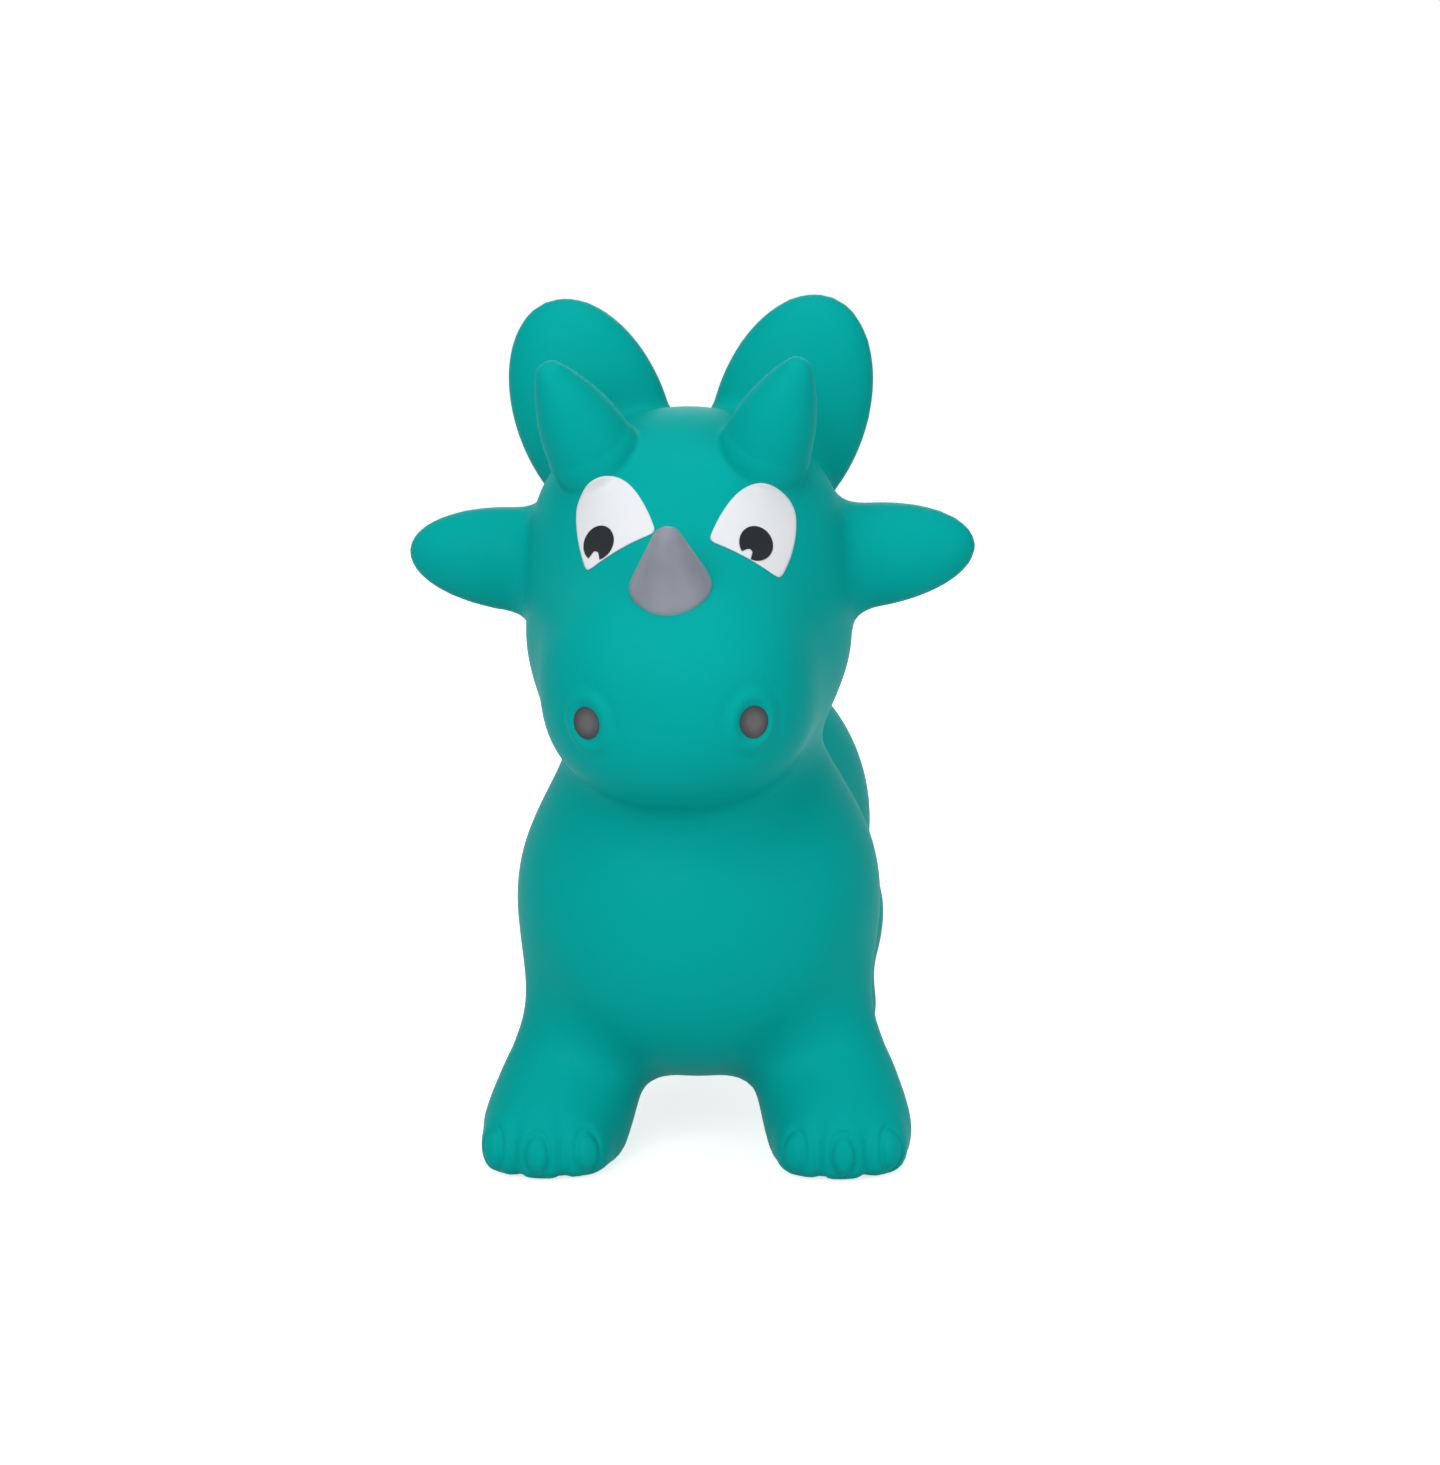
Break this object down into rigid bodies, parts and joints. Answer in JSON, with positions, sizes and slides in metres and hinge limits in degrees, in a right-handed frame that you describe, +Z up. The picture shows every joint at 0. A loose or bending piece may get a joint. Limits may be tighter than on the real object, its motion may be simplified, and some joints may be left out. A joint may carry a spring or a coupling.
{
  "type": "inflatable ride-on animal hopper",
  "caption": "Inflatable dinosaur for a small child to sit on and bounce, with ears as hand grips, neck frill, horns, broad paws and a plugged air valve under the belly.",
  "frame": {"origin": "on the floor, under the middle of the box that holds the animal", "axes": "the animal faces -Y and its tail points to +Y, +X is the right-hand side of the picture, +Z is up"},
  "size_m": [0.365, 0.5597, 0.5498],
  "materials": {
    "skin_pvc": "satin soft PVC, teal",
    "horn_pvc": "satin soft PVC, grey",
    "eye_paint": "satin white paint",
    "pupil_paint": "satin black paint",
    "nostril_paint": "satin dark grey paint",
    "valve_pvc": "satin PVC, teal",
    "plug_pvc": "satin white plastic"
  },
  "bodies": {
    "hopper": {"body_skin": "skin_pvc", "nose_horn": "horn_pvc", "left_eye_white": "eye_paint", "right_eye_white": "eye_paint", "left_pupil": "pupil_paint", "right_pupil": "pupil_paint", "left_nostril": "nostril_paint", "right_nostril": "nostril_paint", "valve_bush": "valve_pvc"},
    "plug": {"valve_plug": "plug_pvc"}
  },
  "joints": [
    {"name": "plug_pull", "type": "slide", "parent": "hopper", "child": "plug", "axis": [0, 0, -1], "range_m": [0, 0.02]}
  ]
}
